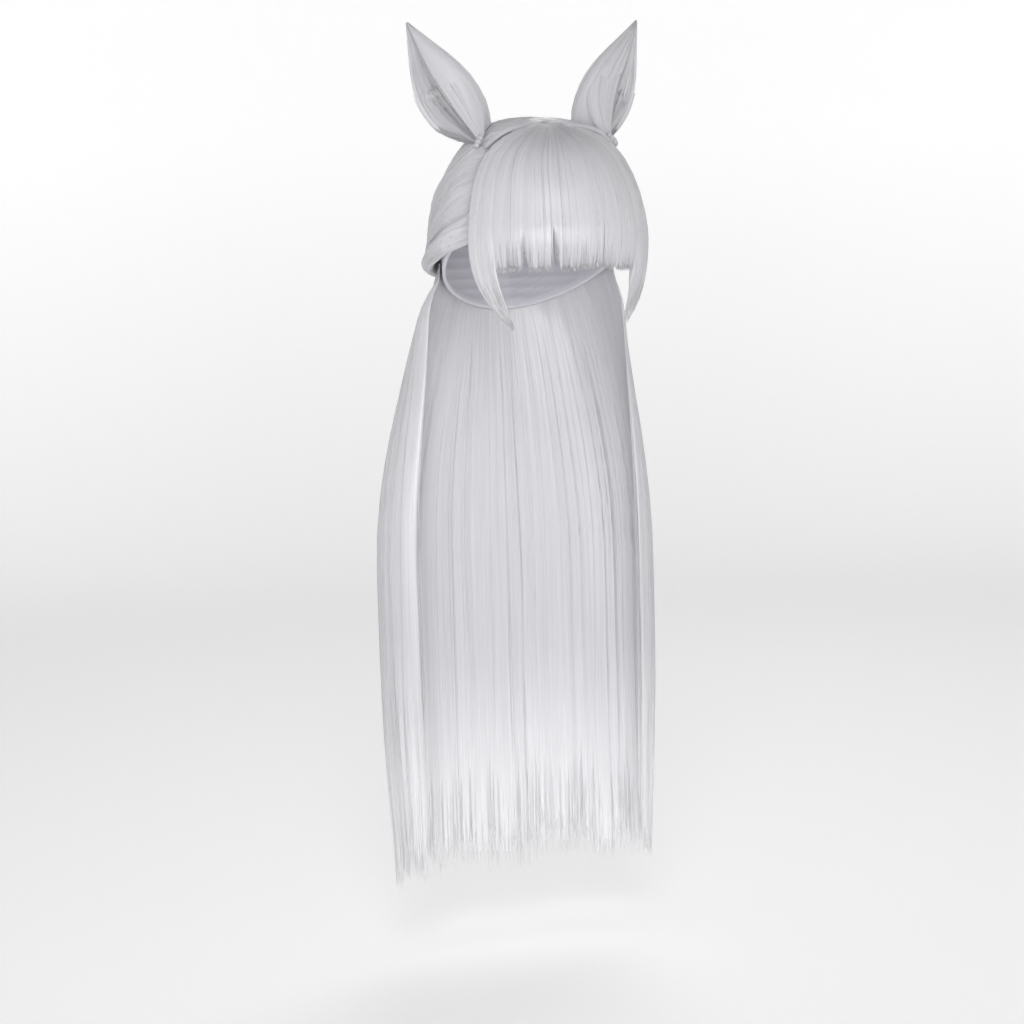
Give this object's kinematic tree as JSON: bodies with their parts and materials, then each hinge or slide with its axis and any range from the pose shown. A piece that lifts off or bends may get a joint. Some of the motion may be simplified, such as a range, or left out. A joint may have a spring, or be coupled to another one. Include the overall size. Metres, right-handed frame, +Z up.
{
  "type": "long straight wig with a fringe and animal ears",
  "caption": "Long straight wig on an open cap, with a blunt fringe, tapered temple locks, swept-back tied sides, loose back hair and soft pointed ears.",
  "frame": {"origin": "the point inside the cap where the crown of a head meets it", "axes": "+Z up out of the crown, the face opening towards -Y, the wearer's left towards +X"},
  "size_m": [0.2563, 0.2415, 0.7604],
  "materials": {
    "hair": "straight pale silver fibre with a soft sheen",
    "ear_hair": "pale silver fibre combed over a soft sheet",
    "net": "matt elastic net with sewn rows",
    "elastic": "matt covered elastic"
  },
  "bodies": {
    "root": {"cap": "net", "fringe": "hair", "side_lock_right": "hair", "side_lock_left": "hair", "crown_right": "hair", "crown_left": "hair", "swept_side_right": "hair", "swept_side_left": "hair", "back_hair_right": "hair", "back_hair_left": "hair", "ear_right": "ear_hair", "ear_left": "ear_hair", "ear_knot_right": "hair", "ear_knot_left": "hair", "tied_tail": "hair", "tail_band": "elastic"}
  },
  "joints": []
}
